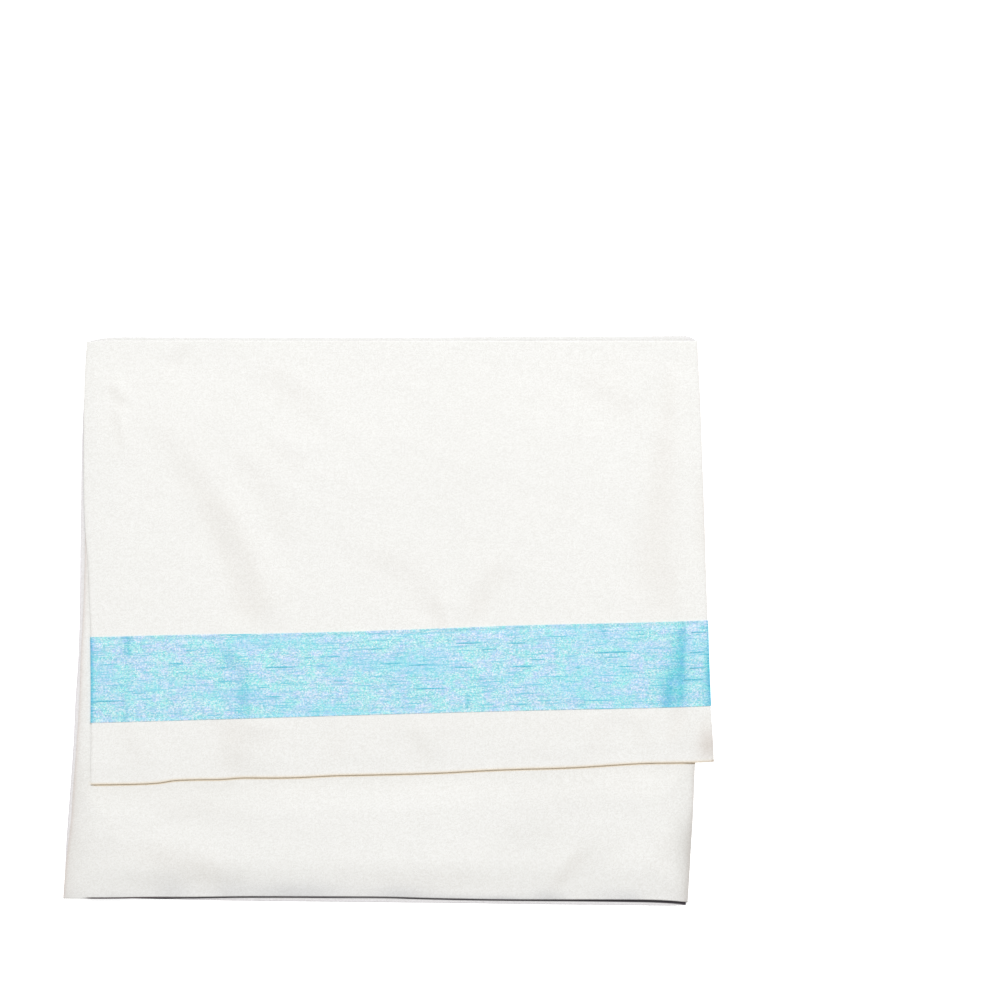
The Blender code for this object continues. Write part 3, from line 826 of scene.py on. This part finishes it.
# %% Blue band
BAND_THICKNESS = 0.35 * MM
BAND_CLEAR = (CLOTH_THICKNESS + BAND_THICKNESS) / 2 + 0.05 * MM
BAND_TURN, BAND_MIDDLE_UP = mm(8, -37)
BAND_WIDTH, BAND_EDGE = 63 * MM, np.array([0.0, 0.5, 1.2, 2.0, 3.0]) * MM
STITCH_INSET, STITCH_PULL, STITCH_REACH = mm(2.6, 0.14, 0.9)
BAND_LOW = table(
    End,
    (-218, -74.8), (-148, -72.8), (-81, -70.8), (1, -68.4), (101, -65.7), (196, -63.7), (236, -62.4),
)
BAND_HIGH = table(
    End,
    (-218, -11.9), (-148, -10.1), (-75, -9.0), (8, -6.6), (101, -3.2), (196, -0.9), (235, 0.4),
)
BAND_CREASES = table(
    Crease,
    (((-192, 4), (-191, -30)), 3.5, 3.0, 0.75),
    (((-193, -38), (-193, -60), (-194, -84)), 2.5, 2.5, 0.4),
    (((-124, -16), (-116, -30), (-109, -38)), 5, 4, 0.45),
    (((-108, -26), (-105, -50), (-108, -90)), 5, 7, 0.5),
    (((215, 22), (216, -14), (216, -27), (215, -51), (214, -84)), 3.5, 3.5, 0.75),
    (((209, -30), (205, -50), (204, -90)), 3.5, 4, 0.55),
    (((214, 4), (208, -46), (206, -96)), 6, 11, 0.55), (((157, 10), (158, -14)), 3, 3, 0.4),
    (((58.6, -54), (58.0, -65)), 1.0, 1.0, 0.9), (((235, -8), (235, -46), (236, -96)), 3, 4, 0.8),
)
BAND_CREASE_SHADE, BAND_END_SHADE = (0.42, 0.81, 0.87), (0.40, 0.76, 0.90)
BAND_LEFT_REACH, BAND_RIGHT_REACH, BAND_RIGHT_DEPTH = 1.5 * MM, 1.2 * MM, 0.6


def band_edge(u):
    """Height up the shawl of the band's lower edge, and the band's width there."""
    x = across(FALL_SIDES, u, BAND_MIDDLE_UP)
    lower = end_at(BAND_LOW, x)
    return lower, end_at(BAND_HIGH, x) - lower


def band_height(x, y, lower, width):
    """The fall's height, pulled down a little along the two rows of stitches."""
    from_edge = np.minimum(y - lower, lower + width - y)
    return fall_height(x, y) + BAND_CLEAR - STITCH_PULL * near(from_edge - STITCH_INSET, STITCH_REACH)


def band_tone(x, y):
    """Painted shade, deeper blue, in the creases and along the turned ends."""
    tone = creased_tone(x, y, BAND_CREASES, BAND_CREASE_SHADE)
    left, right = from_sides(FALL_SIDES, x, y)
    tone = tinted(tone, near(np.maximum(left, 0.0), BAND_LEFT_REACH), BAND_END_SHADE)
    right_share = BAND_RIGHT_DEPTH * near(np.maximum(right, 0.0), BAND_RIGHT_REACH)
    return tinted(tone, right_share, BAND_END_SHADE)


def turned_end(place, outward):
    """The places of one end of the band: down round the side edge, and in beneath it."""
    turned = []
    for angle in np.radians(np.linspace(20, 180, 7)):
        level = place[2] - BAND_CLEAR + BAND_CLEAR * math.cos(angle)
        turned.append((place[0] + outward * BAND_CLEAR * math.sin(angle), place[1], level))
    for share in (0.5, 1.0):
        turned.append((place[0] - outward * BAND_TURN * share, place[1], turned[-1][2]))
    return np.array(turned)


def band_places(columns, rows):
    """The band's grid: rows up its width, each with a turned end at both sides."""
    u = edged_steps(columns, CLOTH_WIDTH, EDGE_STEPS)
    lower, width = band_edge(u)
    grid = []
    for share in edged_steps(rows, BAND_WIDTH, BAND_EDGE):
        y = lower + share * width
        x = across(FALL_SIDES, u, y)
        row = row_of(x, y, band_height(x, y, lower, width))
        grid.append(np.concatenate([turned_end(row[0], -1)[::-1], row, turned_end(row[-1], 1)]))
    return np.array(grid)


band_grid = band_places(210, 36)
shawl_band = lay_sheet("shawl_band", band_grid, BAND_THICKNESS, dress_places(band_grid, band_tone))
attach(shawl_band, "root")
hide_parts("colour_band")
print("Band faces:", len(shawl_band.data.polygons))

# %% [markdown]
# ## Stitches and slubs
#
# Two rows of small stitches hold the band. A slub is a thick place in the silk's own thread, and
# the band has a few dozen of them, long, thin and darker. Both are the same simple shape, a
# sphere drawn out along the thread and flattened. It is modelled once, with few faces, and copied
# to each place. The copies are joined in one mesh, as hundreds of objects would be slow to handle.

# %% Grains of thread
def grains(name, centres, ways, lengths, widths, thickness):
    """Copies of one low sphere, drawn out to each length and width and turned to each way."""
    deselect_all()
    bpy.ops.mesh.primitive_uv_sphere_add(segments=8, ring_count=5, radius=0.5)
    bpy.ops.object.mode_set(mode="EDIT")
    bpy.ops.mesh.select_all(action="SELECT")
    bpy.ops.transform.rotate(value=math.pi / 2, orient_axis="Y", center_override=(0.0, 0.0, 0.0))
    bpy.ops.object.mode_set(mode="OBJECT")
    piece = bpy.context.object
    piece.name = piece.data.name = name
    pattern = piece.data.copy()
    every = bmesh.new()
    for centre, way, length, width in zip(centres, ways, lengths, widths):
        first = len(every.verts)
        every.from_mesh(pattern)
        every.verts.ensure_lookup_table()
        for vertex in every.verts[first:]:
            along, beside, up = vertex.co.x * length, vertex.co.y * width, vertex.co.z * thickness
            vertex.co = (
                centre[0] + along * way[0] - beside * way[1],
                centre[1] + along * way[1] + beside * way[0],
                centre[2] + along * way[2] + up,
            )
    every.to_mesh(piece.data)
    every.free()
    bpy.data.meshes.remove(pattern)
    bpy.ops.object.shade_smooth()
    return piece


def on_band(x, y):
    """Places on the band's upper face."""
    left, right = left_of(FALL_SIDES, y), right_of(FALL_SIDES, y)
    lower, width = band_edge((x - left) / (right - left))
    return row_of(x, y, band_height(x, y, lower, width) + BAND_THICKNESS / 2)


def ways_between(first, second):
    """The way from each first place to its second one, of length 1 as seen from above."""
    way = second - first
    return way / np.linalg.norm(way[:, :2], axis=1)[:, None]


# %% Stitches
STITCH_LENGTH, STITCH_WIDTH, STITCH_THICKNESS = mm(1.9, 0.4, 0.3)
STITCH_STEP, STITCH_START, STITCH_END, BAND_LENGTH = mm(2.7, 4, 450, 455)
u = np.arange(STITCH_START, STITCH_END, STITCH_STEP) / BAND_LENGTH
lower, width = band_edge(u)
stitch_places = []
for y in (lower + STITCH_INSET, lower + width - STITCH_INSET):
    stitch_places.append(on_band(across(FALL_SIDES, u, y), y))
starts = np.concatenate([row[:-1] for row in stitch_places])
ends = np.concatenate([row[1:] for row in stitch_places])
count = len(starts)
lengths, widths = [STITCH_LENGTH] * count, [STITCH_WIDTH] * count
ways = ways_between(starts, ends)
band_stitches = grains("band_stitches", starts, ways, lengths, widths, STITCH_THICKNESS)
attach(band_stitches, "root")
print("Stitches:", count)

# %% Slubs
Slub = namedtuple("Slub", "across up length")
SLUB_WIDTH, SLUB_WIDER, SLUB_THICKNESS, BAND_SLOPE = 0.62 * MM, 0.022, 0.16 * MM, 0.026
SLUBS = table(
    Slub,
    (-156, -31.2, 12), (-204, -58.8, 20), (-183, -52.9, 13), (-78, -33.8, 26), (2, -31.2, 16),
    (22, -32.3, 16), (56, -34.0, 15), (58, -16.2, 18), (74, -20.6, 13), (95, -16.2, 18),
    (97, -33.4, 18), (166, -22.8, 30), (164, -26.5, 12), (110, -28.3, 11), (228, -8.1, 12),
    (227, -22.8, 12), (227, -34.5, 12), (-40, -26.1, 10), (-59, -26.9, 7), (-122, -34.4, 9),
    (-85, -55.6, 17), (3, -46.9, 9), (-93, -48.9, 8), (-146, -21.9, 10), (139, -34.5, 4),
    (174, -33.4, 13), (153, -48.5, 5), (186, -9.6, 8), (224, -42.9, 15), (31, -49.6, 24),
    (-10, -20.5, 14), (-35, -44.0, 11),
)
places = np.array(SLUBS) * MM
middles = on_band(places[:, 0], places[:, 1])
beside = on_band(places[:, 0] + MM, places[:, 1] + BAND_SLOPE * MM)
lengths, widths = places[:, 2], SLUB_WIDTH + places[:, 2] * SLUB_WIDER
ways = ways_between(middles, beside)
band_slubs = grains("band_slubs", middles, ways, lengths, widths, SLUB_THICKNESS)
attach(band_slubs, "root")
print("Slubs:", len(SLUBS))


# %% [markdown]
# ## Materials
#
# Both cloths are dressed with noise patterns, read in the flat cloth's metres. The shawl
# cloth has a fine grain with thin threads across it. The band is raw silk: pale blue and
# lilac-blue threads lie side by side and sparkle, partly through bumps and partly through
# painted pale glints, and thicker dark threads run across it as slubs.

# %% Material helpers
def set_inputs(node, values):
    """Sets a node's own sockets by name."""
    for name, value in values.items():
        node.inputs[name].default_value = value


class Nodes:
    """A small helper that adds nodes to a material and joins them."""

    def __init__(self, name):
        self.material = bpy.data.materials.new(name)
        self.material.use_nodes = True
        self.tree = self.material.node_tree
        self.shader = self.tree.nodes["Principled BSDF"]
        self.uv = self.add("ShaderNodeUVMap")
        self.tone = self.add("ShaderNodeAttribute", attribute_name="tone")

    def add(self, kind, **settings):
        node = self.tree.nodes.new(kind)
        for name, value in settings.items():
            setattr(node, name, value)
        return node

    def join(self, out, into):
        self.tree.links.new(out, into)

    def noise(self, per_metre, detail=2.0, roughness=0.5):
        """Noise on the flat cloth: per_metre is how many blobs fit in a metre across and along."""
        mapping, texture = self.add("ShaderNodeMapping"), self.add("ShaderNodeTexNoise")
        set_inputs(mapping, {"Scale": (*per_metre, 1.0)})
        set_inputs(texture, {"Scale": 1.0, "Detail": detail, "Roughness": roughness})
        self.join(self.uv.outputs["UV"], mapping.inputs["Vector"])
        self.join(mapping.outputs["Vector"], texture.inputs["Vector"])
        return texture.outputs["Fac"]

    def crossings(self, wide, tall):
        """A random number and a random colour for each crossing of the threads, wide by tall metres."""
        snap = self.add("ShaderNodeVectorMath", operation="SNAP")
        snap.inputs[1].default_value = (wide, tall, 1.0)
        self.join(self.uv.outputs["UV"], snap.inputs[0])
        scale = self.add("ShaderNodeVectorMath", operation="SCALE")
        set_inputs(scale, {"Scale": 1 / MM})
        self.join(snap.outputs["Vector"], scale.inputs[0])
        white = self.add("ShaderNodeTexWhiteNoise", noise_dimensions="2D")
        self.join(scale.outputs["Vector"], white.inputs["Vector"])
        return white.outputs["Value"], white.outputs["Color"]

    def between(self, value, low, high, start=0.0, end=1.0):
        """value, spread so that low to high becomes start to end, and held there."""
        spread = self.add("ShaderNodeMapRange")
        set_inputs(spread, {"From Min": low, "From Max": high, "To Min": start, "To Max": end})
        self.join(value, spread.inputs["Value"])
        return spread.outputs["Result"]

    def blend(self, share, first, second, way="MIX"):
        """Colours mixed by a share. Each is a colour or another node's output.

        The Mix node has sockets for each kind of value: 0 is the share, 6 and 7 are the colours.
        """
        mix = self.add("ShaderNodeMix", data_type="RGBA", blend_type=way)
        for index, value in ((0, share), (6, first), (7, second)):
            if isinstance(value, tuple):
                mix.inputs[index].default_value = (*value, 1.0)
            elif isinstance(value, float):
                mix.inputs[index].default_value = value
            else:
                self.join(value, mix.inputs[index])
        return mix.outputs[2]

    def bump(self, height, strength, distance, below=None):
        node = self.add("ShaderNodeBump")
        set_inputs(node, {"Strength": strength, "Distance": distance})
        self.join(height, node.inputs["Height"])
        if below is not None:
            self.join(below, node.inputs["Normal"])
        return node.outputs["Normal"]

    def colour(self, base, *layers):
        """Lays a colour over the base for each layer: its pattern, low, high, most share and colour."""
        for pattern, low, high, most, colour in layers:
            base = self.blend(self.between(pattern, low, high, 0.0, most), base, colour)
        base = self.blend(1.0, base, self.tone.outputs["Color"], "MULTIPLY")
        self.join(base, self.shader.inputs["Base Color"])

    def finish(self, metallic, specular, sheen, sheen_roughness):
        """Sets how the cloth shines."""
        set_inputs(self.shader, {"Metallic": metallic, "Specular IOR Level": specular})
        set_inputs(self.shader, {"Sheen Weight": sheen, "Sheen Roughness": sheen_roughness})


# %% Shawl cloth
def shawl_cloth():
    m = Nodes("shawl_cloth_weave")
    crossing, _ = m.crossings(0.8 * MM, 0.7 * MM)
    coarse, _ = m.crossings(1.7 * MM, 1.1 * MM)
    grain = m.noise((800, 1100), detail=2.0, roughness=0.7)
    threads = m.noise((13, 700), detail=2.0)
    patch = m.noise((9, 14), detail=2.0)
    base = m.blend(m.between(patch, 0.35, 0.65), (0.884, 0.883, 0.858), (0.900, 0.900, 0.878))
    m.colour(
        base,
        (crossing, 0.0, 1.0, 0.9, (0.78, 0.77, 0.74)),
        (coarse, 0.4, 1.0, 0.2, (0.97, 0.97, 0.96)),
        (grain, 0.35, 0.7, 0.4, (0.80, 0.79, 0.76)),
        (threads, 0.58, 0.76, 0.22, (0.77, 0.755, 0.72)),
    )
    m.join(m.between(grain, 0.3, 0.7, 0.46, 0.6), m.shader.inputs["Roughness"])
    normal = m.bump(grain, 0.16, 0.15 * MM)
    normal = m.bump(threads, 0.12, 0.12 * MM, below=normal)
    m.join(normal, m.shader.inputs["Normal"])
    m.finish(metallic=0.06, specular=0.4, sheen=0.12, sheen_roughness=0.4)
    return m.material


# %% Band silk
def band_silk():
    m = Nodes("band_silk_weave")
    hue = m.noise((74, 104), detail=2.0, roughness=0.6)
    crossing, tint = m.crossings(0.8 * MM, 0.7 * MM)
    float_thread, _ = m.crossings(1.3 * MM, 0.6 * MM)
    painted_glints_and_bumps = m.noise((640, 820), detail=2.0, roughness=0.8)
    streak = m.noise((48, 900), detail=1.5, roughness=0.6)
    slub = m.noise((22, 520), detail=1.0)
    cloud = m.noise((9, 42), detail=2.0)
    base = m.blend(m.between(hue, 0.42, 0.58), (0.35, 0.775, 0.80), (0.485, 0.665, 0.89))
    base = m.blend(0.42, base, tint, "SOFT_LIGHT")
    m.colour(
        base,
        (crossing, 0.45, 1.0, 0.8, (0.86, 0.94, 0.97)),
        (float_thread, 0.5, 0.0, 0.85, (0.20, 0.54, 0.66)),
        # Painted pale glints on the silk, where the same noise also bumps it.
        (painted_glints_and_bumps, 0.54, 0.7, 0.6, (0.90, 0.96, 0.98)),
        (streak, 0.55, 0.69, 0.8, (0.15, 0.57, 0.73)),
        (slub, 0.64, 0.76, 0.85, (0.10, 0.52, 0.68)),
        (cloud, 0.48, 0.68, 0.38, (0.22, 0.67, 0.84)),
    )
    m.join(m.between(painted_glints_and_bumps, 0.3, 0.7, 0.55, 0.38), m.shader.inputs["Roughness"])
    normal = m.bump(slub, 0.35, 0.25 * MM)
    normal = m.bump(painted_glints_and_bumps, 0.25, 0.15 * MM, below=normal)
    m.join(normal, m.shader.inputs["Normal"])
    m.finish(metallic=0.1, specular=0.5, sheen=0.15, sheen_roughness=0.35)
    return m.material


def thread(name, first, second):
    m = Nodes(name)
    mapping = m.add("ShaderNodeTexCoord")
    twist = m.add("ShaderNodeTexNoise")
    set_inputs(twist, {"Scale": 900.0})
    m.join(mapping.outputs["Object"], twist.inputs["Vector"])
    colour = m.blend(m.between(twist.outputs["Fac"], 0.4, 0.6), first, second)
    m.join(colour, m.shader.inputs["Base Color"])
    set_inputs(m.shader, {"Roughness": 0.5})
    return m.material


def dress(piece, material):
    piece.data.materials.clear()
    piece.data.materials.append(material)


cloth_material = shawl_cloth()
for piece in (shawl_fall, shawl_run, shawl_layers):
    dress(piece, cloth_material)
dress(shawl_band, band_silk())
dress(band_stitches, thread("stitch_thread", (0.30, 0.62, 0.76), (0.42, 0.72, 0.84)))
dress(band_slubs, thread("slub_thread", (0.07, 0.47, 0.62), (0.17, 0.60, 0.74)))
print("Materials:", len(bpy.data.materials))

# %% [markdown]
# ## Cloth sizes
#
# The flat lengths that the sheets were cut to, and the size of the whole cut.

# %% Sheet sizes
FALL_LENGTH, RUN_LENGTH, LAYERS_LENGTH = 0.345, 0.411, 1.092
whole_length = FALL_LENGTH + RUN_LENGTH + LAYERS_LENGTH
print("Cut of what is folded here in mm:", [round(side / MM) for side in (CLOTH_WIDTH, whole_length)])

# %% [markdown]
# ## Floor, light and camera
#
# The shawl was photographed from straight above, under soft light from the top of the picture.
# A long lens high above it keeps its edges from leaning. The floor is a plain pale plane.

# %% Floor
deselect_all()
bpy.ops.mesh.primitive_plane_add(size=6.0, location=(0.0, 0.0, 0.0))
floor = bpy.context.object
floor.name = "floor"
floor.data.transform(floor.matrix_world)
floor.matrix_world.identity()
floor_paint = bpy.data.materials.new("floor_paint")
floor_paint.use_nodes = True
paint = floor_paint.node_tree.nodes["Principled BSDF"]
set_inputs(paint, {"Base Color": (0.93, 0.93, 0.93, 1.0), "Roughness": 0.9, "Specular IOR Level": 0.1})
set_inputs(paint, {"Emission Color": (1.0, 1.0, 1.0, 1.0), "Emission Strength": 0.6})
floor.data.materials.append(floor_paint)

# %% Light
world = bpy.data.worlds.new("soft_room")
bpy.context.scene.world = world
world.use_nodes = True
room_light = world.node_tree.nodes["Background"]
set_inputs(room_light, {"Color": (1.0, 1.0, 1.0, 1.0), "Strength": 0.515})

LAMP_PLACE, LAMP_SIZE, LAMP_WATTS = (0.9, 5.2, 7.5), 2.1, 590.0
lamp = bpy.data.lights.new("top_softbox", "AREA")
lamp.shape, lamp.size, lamp.energy = "SQUARE", LAMP_SIZE, LAMP_WATTS
softbox = bpy.data.objects.new("top_softbox", lamp)
bpy.context.scene.collection.objects.link(softbox)
softbox.location = LAMP_PLACE
# Turned so that it shines at the shawl's middle.
x, y, z = LAMP_PLACE
softbox.rotation_euler = (math.atan2(math.hypot(x, y), z), 0.0, math.atan2(-x, y) + math.pi)

# %% Camera
PIXEL, PICTURE_PIXELS = 0.735 * MM, 1000
PICTURE_CENTRE = (81.95 * MM, 88.94 * MM)
CAMERA_HEIGHT, CLOTH_TOP, SENSOR = 3.0, 6.0 * MM, 36.0
camera_data = bpy.data.cameras.new("camera")
camera_data.sensor_width = SENSOR
camera_data.lens = SENSOR * (CAMERA_HEIGHT - CLOTH_TOP) / (PICTURE_PIXELS * PIXEL)
camera = bpy.data.objects.new("camera", camera_data)
bpy.context.scene.collection.objects.link(camera)
camera.location = (*PICTURE_CENTRE, CAMERA_HEIGHT)
bpy.context.scene.camera = camera
bpy.context.scene.view_settings.view_transform = "Standard"
print("Lens in mm:", round(camera_data.lens, 1))
